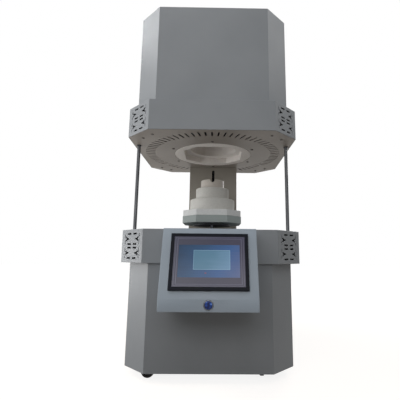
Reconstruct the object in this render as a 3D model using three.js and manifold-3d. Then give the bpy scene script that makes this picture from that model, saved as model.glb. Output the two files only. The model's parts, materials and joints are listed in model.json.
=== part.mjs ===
// Bottom-loading sintering furnace for a dental laboratory.
// Lengths are in millimetres. +Z is up, +X is to the right, and the front faces -Y.
// The origin is on the ground, under the centre of the whole outline.

import * as THREE from 'three';
import { mergeVertices } from 'three/addons/utils/BufferGeometryUtils.js';
import Module from 'manifold-3d';

const wasm = await Module();
wasm.setup();

// Sheet metal, running gaps and cutters
const wall = 2;
const plate = 3;
const gap = 0.3;
const runningGap = 0.4;
const overrun = 5;

// Heights, from the ground up
const skirtHeight = 27;
const cabinetHeight = 307;
const collarHeight = 102;
const openingHeight = 315;
const headHeight = 344;

// Plans: both collars share one, and the cabinet and the head share the other
const collarHalf = 286;
const collarChamfer = 83;
const bodySideInset = 29;
const bodyFrontInset = 12;
const bodyChamfer = 71.5;
const flangeWidth = 8;
const lipWidth = 7;

// Pierced vents on the chamfers of both collars
const ventSlotLength = 20;
const ventSlotWidth = 4.8;
const ventSlotSpacing = 31;
const ventSlotRise = 15.8;
const ventMotifRise = 21.4;
const ventArrowStart = 35;
const ventArrowTip = 18;
const ventBarbLength = 9;
const ventBarbRise = 5.6;
const ventSlitWidth = 2.2;
const ventSlitInset = 39.6;
const ventSlitLow = 3.5;

// Casters
const wheelRadius = 20;
const wheelWidth = 14;
const wheelCrown = 3;
const axleRadius = 3;
const wheelHeadroom = 2.7;
const casterTrail = 22;
const casterSideInset = 97;
const casterFrontInset = 52;
const casterPlateWidth = 44;
const casterPlateThickness = 3;
const raceRadius = 14;
const raceHeight = 3;
const crownRadius = 15;
const crownThickness = 3;
const kingpinRadius = 4;
const kingpinLength = 4;
const forkLegThickness = 2.5;
const forkLegClearance = 1;
const forkEyeRadius = 6.5;
const forkRootHalf = 11;

// Rear service panel
const serviceSideMargin = 35.5;
const serviceRise = 70;
const serviceTopMargin = 24;
const panelMargin = 12;
const louvreHeight = 5;
const louvrePitch = 16;
const louvreTopMargin = 41;
const louvreLowMargin = 50;
const louvreSideMargin = 40;
const louvreMiddleGap = 30;

// Cable gland on the rear panel
const glandBore = 6;
const glandBarrel = 8;
const glandFlange = 13;
const glandFlangeLength = 8;
const glandCap = 10.5;
const glandCapLength = 11;
const glandTail = 9;
const glandInset = 45;
const glandRise = 17;

// Transformer and power controller in the cabinet
const coreWidth = 150;
const coreDepth = 70;
const coreHeight = 125;
const coreWindow = 28;
const coreYoke = 22;
const coreCentreLeg = 44;
const coilSide = 24;
const transformerX = -105;
const transformerY = -60;
const controllerWidth = 110;
const controllerDepth = 60;
const controllerHeight = 150;
const controllerFins = 6;
const finGap = 9;
const finDepth = 34;
const controllerX = 110;

// Control box
const boxHalf = 126;
const boxTopDrop = 5;
const boxTopReach = 96;
const boxFrontReach = 152;
const boxSlopeHeight = 178;
const boxFaceHeight = 31;

// Touch panel
const bezelWidth = 204;
const bezelHeight = 150;
const bezelThickness = 7;
const bezelRim = 9;
const bezelPocket = 2.6;
const bezelDropShare = 0.4645;
const screenThickness = 1.8;
const housingInset = 7;
const housingDepth = 27;

// Push button
const buttonWall = 1.2;
const buttonRingWidth = 2;
const buttonRingThickness = 2.5;
const buttonRingBevel = 1;
const buttonBarrelLength = 26;
const buttonCap = 9.5;
const buttonCapLength = 8;
const buttonProud = 1;
const buttonDropShare = 0.45;

// Front pillars
const pillarRadius = 6;
const pillarClearance = 0.5;
const pillarSetback = 166;
const pillarShoulder = 8;
const pillarShoulderHeight = 5;
const pillarTail = 14;

// Rear column and its lift
const columnHalf = 106;
const columnDepth = 80;
const columnWall = 2.5;
const columnLip = 14;
const slotWidth = 11;
const slotTopDrop = 14;
const slotFoot = 2;
const spineThickness = 3;
const blockHalf = 78;
const lowerBlockDrop = 118;
const lowerBlockHeight = 20;
const upperBlockClearance = 2;
const upperBlockHeight = 16;
const blockDepth = 52;
const guideRadius = 8;
const guideX = 62;
const screwRadius = 8;
const motorWidth = 57;
const motorClearance = 0.7;
const motorHeight = 78;
const motorChamfer = 7;
const carriageHalf = 82;
const carriageDepth = 44;
const carriageHeight = 70;
const carriageDrop = 31;
const nutRadius = 12;
const nutLength = 30;
const nutFlangeRadius = 20;
const nutFlangeHeight = 8;
const armThickness = 8;
const armDeckClearance = 3.7;
const armFootHalf = 40;
const armFootHeight = 56;
const armFootThickness = 6;
const seatRadius = 70;
const seatThickness = 6;

// Hearth
const hearthRise = 38;
const trayHalf = 108.5;
const trayChamfer = 53;
const trayHeight = 25.5;
const boardSetback = 1.5;
const boardThickness = 21.7;
const plugLowerRadius = 86;
const plugLowerHeight = 45.2;
const plugStep = 22;
const plugUpperHeight = 43.7;
const crucibleRadius = 45;
const crucibleWall = 5;
const crucibleHeight = 33;
const crucibleNotchWidth = 19;
const crucibleNotchDepth = 11;
const crucibleNotches = 4;

// Furnace mouth and chamber
const recessClearance = 3.5;
const recessHeadroom = 1.8;
const mouthRim = 26.4;
const mouthThickness = 56;
const boreClearance = 4.5;
const caseShoulder = 31;
const caseWall = 1.5;
const caseHeight = 292;
const caseLip = 20;
const caseRim = 8;
const chamberWallThickness = 40;
const roofThickness = 60;

// Heating elements and thermocouple
const elementCount = 4;
const elementInset = 13.5;
const elementLegHalf = 16;
const hotRadius = 3;
const coldRadius = 5.5;
const elementLift = 30;
const elementBend = 10;
const elementTail = 44;
const legHoleClearance = 1.5;
const terminalWidth = 34;
const terminalHeight = 20;
const sheathRadius = 4;
const sheathDip = 31;
const sheathHeadRadius = 14;
const sheathHeadHeight = 20;

// Ring of radial slots in the head floor
const ringSlots = 72;
const ringMargin = 23;
const ringSlotLength = 36;
const ringSlotWidth = 6;
const ringSlotMargin = 6;

// Screws
const screwHeadRadius = 4.5;
const screwHeadHeight = 2.5;
const mouthScrews = 6;
const mouthScrewMargin = 19;
const floorScrewInset = 38;
const floorScrewHalfSpacing = 27;

// Cooling fan under the head top
const fanWidth = 120;
const fanDepth = 38;
const fanWall = 4;
const fanHub = 20;
const fanStrut = 6;
const fanStrutThickness = 5;
const fanBlades = 7;
const fanBladeThickness = 2;
const fanBladeChord = 26;
const fanBladePitchShare = 0.2;
const fanTipGap = 2;
const grilleSlotWidth = 6;
const grillePitch = 11;
const grilleEdge = 5;

// Facets of round pieces
const fineSides = 64;
const roundSides = 32;
const smallSides = 16;
const screwSides = 8;

// Levels and plans that follow from the sizes above
const deckZ = skirtHeight + cabinetHeight + collarHeight;
const headZ = deckZ + openingHeight;
const wheelTop = 2 * wheelRadius + wheelHeadroom;
const casterHeight = wheelTop + crownThickness + gap + raceHeight + casterPlateThickness;
const floorRise = casterHeight - skirtHeight;
const insetShare = 2 - Math.SQRT2;
const collarPlan = { halfX: collarHalf, halfY: collarHalf, chamfer: collarChamfer };
const bodyPlan = {
  halfX: collarHalf - bodySideInset,
  halfY: collarHalf - bodyFrontInset,
  chamfer: bodyChamfer,
};
const boardHalf = trayHalf - boardSetback;
const recessHalf = boardHalf + recessClearance;
const mouthRadius = Math.hypot(recessHalf, recessHalf - trayChamfer) + mouthRim;
const boreRadius = plugLowerRadius + boreClearance;
const caseRadius = mouthRadius + caseShoulder;
const insulationRadius = caseRadius - caseWall - gap;
const roofTop = wall + caseHeight - caseRim;
const chamberTop = roofTop - roofThickness;
const elementCircle = boreRadius - elementInset;
const fanBore = fanWidth / 2 - fanWall;
const columnBack = bodyPlan.halfY - flangeWidth;
const columnFront = columnBack - columnDepth;
const columnInner = columnHalf - columnWall;
const spineHalf = columnInner - plate;
const spineY = columnBack - columnWall - spineThickness - gap;
const liftY = spineY - motorClearance - motorWidth / 2;
const serviceHalf = bodyPlan.halfX - bodyPlan.chamfer - serviceSideMargin;
const serviceHeight = cabinetHeight - serviceRise - serviceTopMargin;

// Materials
const paint = (color, roughness) => new THREE.MeshStandardMaterial({ color, roughness, metalness: 0 });
const metal = (color, roughness) => new THREE.MeshStandardMaterial({ color, roughness, metalness: 1 });
const greyPaint = paint(0x8b9195, 0.5);
const panelPaint = paint(0x9aa5ad, 0.45);
const underPaint = paint(0x7d746d, 0.6);
const blackPlastic = paint(0x141416, 0.45);
const screenGlass = paint(0x1c2f6b, 0.15);
const blueLens = paint(0x1b46c8, 0.2);
const fibre = paint(0xd9d6cd, 0.95);
const denseFibre = paint(0xcfccc4, 0.9);
const ceramic = paint(0xe6e3dc, 0.6);
const brushedSteel = metal(0x9da2a5, 0.35);
const chrome = metal(0xc8ccd0, 0.15);
const trayPaint = paint(0x7c8682, 0.5);
const darkSteel = metal(0x4a4d50, 0.5);
const aluminium = metal(0xb9bdc0, 0.4);
const bronze = metal(0xb08a4e, 0.4);
const copper = metal(0xa8643a, 0.5);
const silicide = paint(0x3b3a3c, 0.6);
const blackRubber = paint(0x121212, 0.8);

// Outlines
const shapeOf = (points) => new THREE.Shape(points.map(([x, y]) => new THREE.Vector2(x, y)));

function inset(plan, distance) {
  return {
    halfX: plan.halfX - distance,
    halfY: plan.halfY - distance,
    chamfer: plan.chamfer - distance * insetShare,
  };
}

function octagon({ halfX, halfY, chamfer }) {
  const flatX = halfX - chamfer;
  const flatY = halfY - chamfer;
  return [
    [halfX, -flatY], [halfX, flatY], [flatX, halfY], [-flatX, halfY],
    [-halfX, flatY], [-halfX, -flatY], [-flatX, -halfY], [flatX, -halfY],
  ];
}

function circle(radius, sides, x = 0, y = 0) {
  const points = [];
  for (let i = 0; i < sides; i += 1) {
    const angle = (2 * Math.PI * i) / sides;
    points.push([x + radius * Math.cos(angle), y + radius * Math.sin(angle)]);
  }
  return points;
}

function rectangle(width, height, x = 0, y = 0) {
  return [
    [x - width / 2, y - height / 2], [x + width / 2, y - height / 2],
    [x + width / 2, y + height / 2], [x - width / 2, y + height / 2],
  ];
}

// Solids: each stands on z unless it says otherwise
function slab(outline, height, z = 0, holes = []) {
  const options = { depth: height, bevelEnabled: false };
  const whole = new THREE.ExtrudeGeometry(shapeOf(outline), options).translate(0, 0, z);
  const tools = holes.map((hole) => slab(hole, height + 2 * overrun, z - overrun));
  return tools.length > 0 ? cut(whole, ...tools) : whole;
}

function block(width, depth, height, x = 0, y = 0, z = 0) {
  return new THREE.BoxGeometry(width, depth, height).translate(x, y, z + height / 2);
}

function rod(radius, height, z = 0, sides = roundSides, x = 0, y = 0) {
  return slab(circle(radius, sides, x, y), height, z);
}

// A profile of radius and height, turned about Z, listed from the bottom up on its outside
function turned(profile, sides = roundSides) {
  const points = profile.map(([radius, height]) => new THREE.Vector2(radius, height));
  return new THREE.LatheGeometry(points, sides).rotateX(Math.PI / 2);
}

function solid(geometry) {
  const bare = geometry.clone();
  bare.deleteAttribute('normal');
  bare.deleteAttribute('uv');
  const merged = mergeVertices(bare);
  const triVerts = new Uint32Array(merged.index.array);
  const vertProperties = new Float32Array(merged.attributes.position.array);
  return new wasm.Manifold(new wasm.Mesh({ numProp: 3, vertProperties, triVerts }));
}

function geometryOf(manifold) {
  const { vertProperties, triVerts } = manifold.getMesh();
  const geometry = new THREE.BufferGeometry();
  geometry.setAttribute('position', new THREE.BufferAttribute(vertProperties, 3));
  geometry.setIndex(new THREE.BufferAttribute(triVerts, 1));
  geometry.computeVertexNormals();
  return geometry;
}

const join = (...pieces) => geometryOf(pieces.map(solid).reduce((whole, piece) => whole.add(piece)));
const cut = (body, ...tools) => geometryOf(
  tools.map(solid).reduce((rest, tool) => rest.subtract(tool), solid(body)),
);

// Scene graph
const furnace = new THREE.Group();

function group(parent, x = 0, y = 0, z = 0) {
  const made = new THREE.Group();
  made.position.set(x, y, z);
  parent.add(made);
  return made;
}

function add(parent, name, geometry, material, x = 0, y = 0, z = 0) {
  const mesh = new THREE.Mesh(geometry, material);
  mesh.name = name;
  mesh.position.set(x, y, z);
  parent.add(mesh);
  return mesh;
}

// Pierced vent pattern, as cutters in the XZ plane about one chamfer's centre
function stroke([x1, z1], [x2, z2], width) {
  const length = Math.hypot(x2 - x1, z2 - z1);
  const bar = new THREE.BoxGeometry(length, 2 * overrun, width);
  bar.rotateY(-Math.atan2(z2 - z1, x2 - x1));
  return bar.translate((x1 + x2) / 2, 0, (z1 + z2) / 2);
}

function ventMotif(centreZ) {
  const strokes = [];
  for (const side of [-1, 1]) {
    const slotX = (side * ventSlotSpacing) / 2;
    const barbX = side * (ventArrowStart - ventBarbLength);
    const slitX = side * ventSlitInset;
    for (const level of [-1, 1]) {
      const slotZ = centreZ + level * ventSlotRise;
      const slotEnds = [-1, 1].map((end) => [slotX + (end * ventSlotLength) / 2, slotZ]);
      strokes.push(stroke(...slotEnds, ventSlotWidth));
      const barbEnd = [side * ventArrowStart, centreZ + level * ventBarbRise];
      strokes.push(stroke(barbEnd, [barbX, centreZ], ventSlotWidth));
      const slitLow = centreZ + level * ventSlitLow;
      strokes.push(stroke([slitX, slitLow], [slitX, slotZ], ventSlitWidth));
    }
    strokes.push(stroke([barbX, centreZ], [side * ventArrowTip, centreZ], ventSlotWidth));
  }
  return strokes;
}

function ventCutters(plan, height) {
  const pattern = join(
    ...ventMotif(height / 2 - ventMotifRise),
    ...ventMotif(height / 2 + ventMotifRise),
  );
  const cutters = [];
  for (const sideX of [-1, 1]) {
    for (const sideY of [-1, 1]) {
      const turn = Math.atan2(sideY, sideX) - Math.PI / 2;
      const x = sideX * (plan.halfX - plan.chamfer / 2);
      const y = sideY * (plan.halfY - plan.chamfer / 2);
      cutters.push(pattern.clone().rotateZ(turn).translate(x, y, 0));
    }
  }
  return cutters;
}

const band = (outer, inner, height, z = 0) => slab(octagon(outer), height, z, [octagon(inner)]);

// Cabinet with its flanges, floor and rear service panel
function cabinetShell() {
  const walls = band(bodyPlan, inset(bodyPlan, wall), cabinetHeight);
  const topFlange = band(bodyPlan, inset(bodyPlan, flangeWidth), wall, cabinetHeight - wall);
  const floorFlange = band(bodyPlan, inset(bodyPlan, flangeWidth), wall, floorRise - wall);
  const opening = block(2 * serviceHalf, 2 * overrun, serviceHeight, 0, bodyPlan.halfY, serviceRise);
  return cut(join(walls, topFlange, floorFlange), opening);
}

const glandX = glandInset - serviceHalf;
const glandY = glandRise - serviceHeight / 2;

function servicePanel() {
  const width = 2 * (serviceHalf + panelMargin);
  const height = serviceHeight + 2 * panelMargin;
  const holes = [circle(glandBarrel + gap, smallSides, -glandX, glandY)];
  const length = serviceHalf - louvreSideMargin - louvreMiddleGap / 2;
  const top = serviceHeight / 2 - louvreTopMargin;
  const bottom = louvreLowMargin - serviceHeight / 2;
  for (let y = top; y >= bottom; y -= louvrePitch) {
    for (const side of [-1, 1]) {
      holes.push(rectangle(length, louvreHeight, (side * (length + louvreMiddleGap)) / 2, y));
    }
  }
  const screwX = (width - panelMargin) / 2;
  const screwY = (height - panelMargin) / 2;
  const places = [-screwX, screwX].flatMap((x) => [-screwY, 0, screwY].map((y) => [x, y]));
  const heads = places.map(([x, y]) => screwHead(x, y, wall));
  return join(slab(rectangle(width, height), wall, 0, holes), ...heads);
}

function cableGland() {
  const inner = -wall - glandTail;
  return turned([
    [glandBore, inner], [glandBarrel, inner], [glandBarrel, 0], [glandFlange, 0],
    [glandFlange, glandFlangeLength], [glandCap, glandFlangeLength],
    [glandCap, glandFlangeLength + glandCapLength], [glandBore, glandFlangeLength + glandCapLength],
    [glandBore, inner],
  ], smallSides);
}

function transformerCore() {
  const frame = block(coreWidth, coreDepth, coreHeight);
  const windowHeight = coreHeight - 2 * coreYoke;
  const windows = [-1, 1].map((side) => {
    const x = (side * (coreCentreLeg + coreWindow)) / 2;
    return block(coreWindow, coreDepth + 2 * overrun, windowHeight, x, 0, coreYoke);
  });
  return cut(frame, ...windows);
}

function transformerCoil() {
  const height = coreHeight - 2 * coreYoke - 2 * gap;
  const outer = rectangle(coreCentreLeg + 2 * (coreWindow - gap), coreDepth + 2 * coilSide);
  const inner = rectangle(coreCentreLeg + 2 * gap, coreDepth + 2 * gap);
  return slab(outer, height, coreYoke + gap, [inner]);
}

function powerController() {
  const fins = [];
  const pitch = controllerWidth / controllerFins;
  for (let i = 0; i < controllerFins; i += 1) {
    const x = (i - (controllerFins - 1) / 2) * pitch;
    const y = -controllerDepth / 2;
    fins.push(block(finGap, 2 * finDepth, controllerHeight + 2 * overrun, x, y, -overrun));
  }
  return cut(block(controllerWidth, controllerDepth, controllerHeight), ...fins);
}

// Collars: a band with pierced chamfers, a flange at the body and a lip under its plate
function collar(flangeZ, lipZ) {
  const bodyEdge = inset(bodyPlan, flangeWidth);
  const lipEdge = inset(collarPlan, wall + lipWidth);
  const whole = join(
    band(collarPlan, inset(collarPlan, wall), collarHeight),
    band(collarPlan, bodyEdge, wall, flangeZ),
    band(collarPlan, lipEdge, wall, lipZ),
  );
  return cut(whole, ...ventCutters(collarPlan, collarHeight));
}

const collarPlate = inset(collarPlan, wall + gap);
const pillarX = collarPlan.halfX - wall - lipWidth - pillarClearance - pillarShoulder;
const pillarY = pillarSetback - collarHalf;
const pillarHoles = [-1, 1].map((side) => circle(pillarRadius + gap, smallSides, side * pillarX, pillarY));

function baseDeck() {
  const front = columnFront + columnWall + gap;
  const back = columnBack - columnWall;
  const passage = rectangle(2 * (spineHalf + gap), back - front, 0, (front + back) / 2);
  return slab(octagon(collarPlate), plate, 0, [passage, ...pillarHoles]);
}

// Control box: a side profile swept across, hollow and open at its back
const boxTop = deckZ - boxTopDrop;
const boxSlopeRun = boxFrontReach - boxTopReach;
const boxTilt = Math.atan2(boxSlopeRun, boxSlopeHeight);
const boxSlopeLength = Math.hypot(boxSlopeRun, boxSlopeHeight);
const boxKneeZ = boxTop - boxSlopeHeight;
const boxBottom = boxKneeZ - boxFaceHeight;
const buttonZ = boxKneeZ - buttonDropShare * boxFaceHeight;
const buttonBarrel = buttonCap + gap + buttonWall;
const housingWidth = bezelWidth - 2 * housingInset;
const housingHeight = bezelHeight - 2 * housingInset;
const collarFrontY = -collarPlan.halfY - gap;
const bodyFrontY = -bodyPlan.halfY - gap;
const boxTopY = -collarPlan.halfY - boxTopReach;
const boxFaceY = -collarPlan.halfY - boxFrontReach;
const collarBottom = skirtHeight + cabinetHeight;

function sweptAcross(profile, half) {
  const swept = slab(profile, 2 * half, -half);
  return swept.rotateX(Math.PI / 2).rotateZ(Math.PI / 2);
}

function controlBox() {
  const outer = sweptAcross([
    [collarFrontY, collarBottom - gap], [collarFrontY, boxTop], [boxTopY, boxTop], [boxFaceY, boxKneeZ],
    [boxFaceY, boxBottom], [bodyFrontY, boxBottom], [bodyFrontY, collarBottom - gap],
  ], boxHalf);
  const slopeShift = wall / Math.cos(boxTilt);
  const slopeY = (z) => boxTopY - ((boxTop - z) * boxSlopeRun) / boxSlopeHeight + slopeShift;
  const innerKneeZ = boxKneeZ + (slopeShift - wall) * (boxSlopeHeight / boxSlopeRun);
  const back = bodyFrontY + overrun;
  const inner = sweptAcross([
    [back, boxBottom + wall], [back, boxTop - wall], [slopeY(boxTop - wall), boxTop - wall],
    [boxFaceY + wall, innerKneeZ], [boxFaceY + wall, boxBottom + wall],
  ], boxHalf - wall);
  const opening = block(housingWidth + 2 * gap, housingHeight + 2 * gap, 2 * overrun, 0, 0, -overrun);
  opening.applyMatrix4(panelMatrix());
  const buttonHole = rod(buttonBarrel + gap, 2 * overrun, -overrun, smallSides).rotateX(Math.PI / 2);
  buttonHole.translate(0, boxFaceY, buttonZ);
  return cut(outer, inner, opening, buttonHole);
}

// Middle of the touch panel on the slope: its Y runs up the slope and its Z points out
function panelMatrix() {
  const down = bezelDropShare * (boxSlopeLength - bezelHeight) + bezelHeight / 2;
  const y = boxTopY - down * Math.sin(boxTilt);
  const z = boxTop - down * Math.cos(boxTilt);
  const matrix = new THREE.Matrix4().makeRotationX(Math.PI / 2 - boxTilt);
  return matrix.setPosition(0, y, z);
}

function touchBezel() {
  const pocketWidth = bezelWidth - 2 * bezelRim;
  const pocketHeight = bezelHeight - 2 * bezelRim;
  const pocketZ = gap + bezelThickness - bezelPocket;
  const frame = block(bezelWidth, bezelHeight, bezelThickness, 0, 0, gap);
  const housing = block(housingWidth, housingHeight, housingDepth + wall, 0, 0, gap - housingDepth);
  const pocket = block(pocketWidth, pocketHeight, bezelPocket + overrun, 0, 0, pocketZ);
  return cut(join(frame, housing), pocket);
}

function touchScreen() {
  const width = bezelWidth - 2 * bezelRim - 2 * gap;
  const height = bezelHeight - 2 * bezelRim - 2 * gap;
  return block(width, height, screenThickness);
}

function buttonBody() {
  const bore = buttonCap + gap;
  const ring = buttonBarrel + buttonRingWidth;
  const top = buttonRingThickness;
  return turned([
    [bore, -buttonBarrelLength], [buttonBarrel, -buttonBarrelLength], [buttonBarrel, 0], [ring, 0],
    [ring, top - buttonRingBevel], [ring - buttonRingBevel, top], [bore, top], [bore, -buttonBarrelLength],
  ]);
}

// Pillars: a rod with a shoulder under and over each plate that it passes
function pillar() {
  const length = openingHeight + 2 * pillarTail;
  const foot = pillarTail;
  const head = pillarTail + openingHeight;
  const low = foot + pillarShoulderHeight;
  const high = head - pillarShoulderHeight;
  return turned([
    [0, 0], [pillarRadius, 0], [pillarRadius, foot], [pillarShoulder, foot], [pillarShoulder, low],
    [pillarRadius, low], [pillarRadius, high], [pillarShoulder, high], [pillarShoulder, head],
    [pillarRadius, head], [pillarRadius, length], [0, length],
  ], smallSides);
}

// Column: a channel with a slot in its face and lips at its back
function columnCover() {
  const inner = columnHalf - columnWall;
  const height = openingHeight;
  const outline = [
    [-columnHalf, columnFront], [columnHalf, columnFront], [columnHalf, columnBack],
    [columnHalf - columnLip, columnBack], [columnHalf - columnLip, columnBack - columnWall],
    [inner, columnBack - columnWall], [inner, columnFront + columnWall],
    [-inner, columnFront + columnWall], [-inner, columnBack - columnWall],
    [columnLip - columnHalf, columnBack - columnWall], [columnLip - columnHalf, columnBack],
    [-columnHalf, columnBack],
  ];
  const slotHeight = height - slotTopDrop - slotFoot - slotWidth / 2;
  const slot = block(slotWidth, 2 * overrun, slotHeight, 0, columnFront, slotFoot);
  const slotEnd = rod(slotWidth / 2, 2 * overrun, -overrun, smallSides).rotateX(Math.PI / 2);
  slotEnd.translate(0, columnFront, slotFoot + slotHeight);
  return cut(slab(outline, height), slot, slotEnd);
}

function liftBlock(height) {
  const front = spineY - blockDepth;
  const middle = (front + spineY) / 2;
  const bores = [-guideX, guideX].map((x) => circle(guideRadius + gap, smallSides, x, liftY));
  bores.push(circle(screwRadius + gap, smallSides, 0, liftY));
  return slab(rectangle(2 * blockHalf, spineY - front, 0, middle), height, 0, bores);
}

function liftMotor() {
  const half = motorWidth / 2;
  return slab(octagon({ halfX: half, halfY: half, chamfer: motorChamfer }), motorHeight);
}

function carriage() {
  const bores = [-guideX, guideX].map((x) => circle(guideRadius + runningGap, smallSides, x, 0));
  bores.push(circle(nutRadius + gap, smallSides, 0, 0));
  return slab(rectangle(2 * carriageHalf, carriageDepth), carriageHeight, 0, bores);
}

function liftNut() {
  const bore = screwRadius + runningGap;
  return turned([
    [bore, -nutFlangeHeight], [nutFlangeRadius, -nutFlangeHeight], [nutFlangeRadius, 0],
    [nutRadius, 0], [nutRadius, nutLength], [bore, nutLength], [bore, -nutFlangeHeight],
  ], smallSides);
}

// Arm: a web through the slot, a foot on the carriage and a round seat under the tray
function liftArm() {
  const back = liftY - carriageDepth / 2 - gap;
  const footY = back - armFootThickness / 2;
  const webTop = hearthRise - gap - seatThickness;
  const footTop = webTop + seatThickness;
  const foot = block(2 * armFootHalf, armFootThickness, armFootHeight, 0, footY, footTop - armFootHeight);
  const webHeight = webTop + gap - armDeckClearance;
  const webLength = footY + seatRadius;
  const web = block(armThickness, webLength, webHeight, 0, webLength / 2 - seatRadius, armDeckClearance);
  const seat = rod(seatRadius, seatThickness, webTop);
  return join(foot, web, seat);
}

function hearthTray() {
  const outer = { halfX: trayHalf, halfY: trayHalf, chamfer: trayChamfer };
  const floor = slab(octagon(outer), plate);
  return join(floor, band(outer, inset(outer, wall), trayHeight));
}

function hearthBoard() {
  const tray = { halfX: trayHalf, halfY: trayHalf, chamfer: trayChamfer };
  const insert = inset(tray, wall + gap);
  const top = inset(tray, trayHalf - boardHalf);
  const insertHeight = trayHeight - plate + gap;
  const lower = slab(octagon(insert), insertHeight, plate + gap);
  return join(lower, slab(octagon(top), boardThickness, trayHeight + gap));
}

function crucible() {
  const inner = crucibleRadius - crucibleWall;
  const cup = turned([
    [0, 0], [crucibleRadius, 0], [crucibleRadius, crucibleHeight], [inner, crucibleHeight],
    [inner, crucibleWall], [0, crucibleWall],
  ]);
  const notches = [];
  for (let i = 0; i < crucibleNotches / 2; i += 1) {
    const deep = crucibleNotchDepth - crucibleNotchWidth / 2;
    const across = 2 * crucibleRadius + 2 * overrun;
    const slot = block(crucibleNotchWidth, across, deep + overrun, 0, 0, crucibleHeight - deep);
    const round = rod(crucibleNotchWidth / 2, across, -across / 2, smallSides).rotateX(Math.PI / 2);
    round.translate(0, 0, crucibleHeight - deep);
    const turn = (2 * Math.PI * i) / crucibleNotches;
    notches.push(slot.rotateZ(turn), round.rotateZ(turn));
  }
  return cut(cup, ...notches);
}

// Head: floor plate with its ring of slots, shell and top
function ringSlotHoles() {
  const holes = [];
  const middle = collarHalf - ringMargin - ringSlotLength / 2;
  for (let i = 0; i < ringSlots; i += 1) {
    const angle = (2 * Math.PI * i) / ringSlots - Math.PI / 2;
    const x = middle * Math.cos(angle);
    const y = middle * Math.sin(angle);
    const overColumn = y > 0 && Math.abs(x) < columnHalf + ringSlotMargin;
    if (!overColumn) {
      const outline = rectangle(ringSlotLength, ringSlotWidth);
      holes.push(outline.map(([along, across]) => [
        x + along * Math.cos(angle) - across * Math.sin(angle),
        y + along * Math.sin(angle) + across * Math.cos(angle),
      ]));
    }
  }
  return holes;
}

function screwHead(x, y, z = -screwHeadHeight) {
  return rod(screwHeadRadius, screwHeadHeight, z, screwSides, x, y);
}

function floorScrewPlaces() {
  const places = circle(mouthRadius + mouthScrewMargin, mouthScrews).map(([x, y]) => [y, -x]);
  const toCorner = (collarPlan.chamfer + floorScrewInset * Math.SQRT2) / 2;
  const along = floorScrewHalfSpacing / Math.SQRT2;
  for (const sideX of [-1, 1]) {
    for (const sideY of [-1, 1]) {
      for (const step of [-along, along]) {
        const x = collarPlan.halfX - toCorner + step;
        const y = collarPlan.halfY - toCorner - step;
        places.push([sideX * x, sideY * y]);
      }
    }
  }
  const margin = screwHeadRadius + gap;
  return places.filter(([x, y]) => y < columnFront - margin || Math.abs(x) > columnHalf + margin);
}

function headFloor() {
  const mouth = circle(mouthRadius + gap, fineSides);
  const floor = slab(octagon(collarPlate), wall, 0, [mouth, ...pillarHoles, ...ringSlotHoles()]);
  return join(floor, ...floorScrewPlaces().map(([x, y]) => screwHead(x, y)));
}

function headShell() {
  return join(
    band(bodyPlan, inset(bodyPlan, wall), headHeight),
    band(bodyPlan, inset(bodyPlan, flangeWidth), wall),
    band(bodyPlan, inset(bodyPlan, wall + flangeWidth), wall, headHeight - 2 * wall),
  );
}

function headTop() {
  const holes = [];
  const reach = fanBore - grilleSlotWidth;
  const rows = Math.floor((reach - grilleEdge) / grillePitch);
  for (let row = -rows; row <= rows; row += 1) {
    const y = row * grillePitch;
    holes.push(rectangle(2 * Math.sqrt(reach * reach - y * y), grilleSlotWidth, 0, y));
  }
  return slab(octagon(inset(bodyPlan, wall + gap)), wall, 0, holes);
}

function chamberCase() {
  const inner = caseRadius - caseWall;
  return turned([
    [caseRadius - caseLip, 0], [caseRadius, 0], [caseRadius, caseHeight], [inner, caseHeight],
    [inner, caseWall], [caseRadius - caseLip, caseWall], [caseRadius - caseLip, 0],
  ], fineSides);
}

// Fibre ring: its narrow foot fills the hole in the head floor and its shoulder sits on the case
function mouthRing() {
  const shoulder = wall + caseWall + gap;
  const blank = turned([
    [0, 0], [mouthRadius, 0], [mouthRadius, shoulder], [insulationRadius, shoulder],
    [insulationRadius, mouthThickness], [0, mouthThickness],
  ], fineSides);
  const recess = { halfX: recessHalf, halfY: recessHalf, chamfer: trayChamfer };
  return cut(
    blank,
    slab(octagon(recess), boardThickness + recessHeadroom + overrun, -overrun),
    rod(boreRadius, mouthThickness + 2 * overrun, -overrun, fineSides),
  );
}

function chamberTube(innerRadius, outerRadius) {
  const holes = [circle(innerRadius, fineSides)];
  const height = chamberTop - mouthThickness - 2 * gap;
  return slab(circle(outerRadius, fineSides), height, mouthThickness + gap, holes);
}

function elementPlaces() {
  const places = [];
  for (let i = 0; i < elementCount; i += 1) {
    places.push((2 * Math.PI * (i + 1 / 2)) / elementCount);
  }
  return places;
}

function legPlaces() {
  return elementPlaces().flatMap((angle) => [-1, 1].map((side) => {
    const along = side * elementLegHalf;
    const x = elementCircle * Math.cos(angle) - along * Math.sin(angle);
    const y = elementCircle * Math.sin(angle) + along * Math.cos(angle);
    return [x, y];
  }));
}

function chamberRoof() {
  const legHoles = legPlaces().map(([x, y]) => circle(coldRadius + legHoleClearance, smallSides, x, y));
  const holes = [circle(sheathRadius + gap, smallSides), ...legHoles];
  return slab(circle(insulationRadius, fineSides), roofThickness, chamberTop, holes);
}

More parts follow.
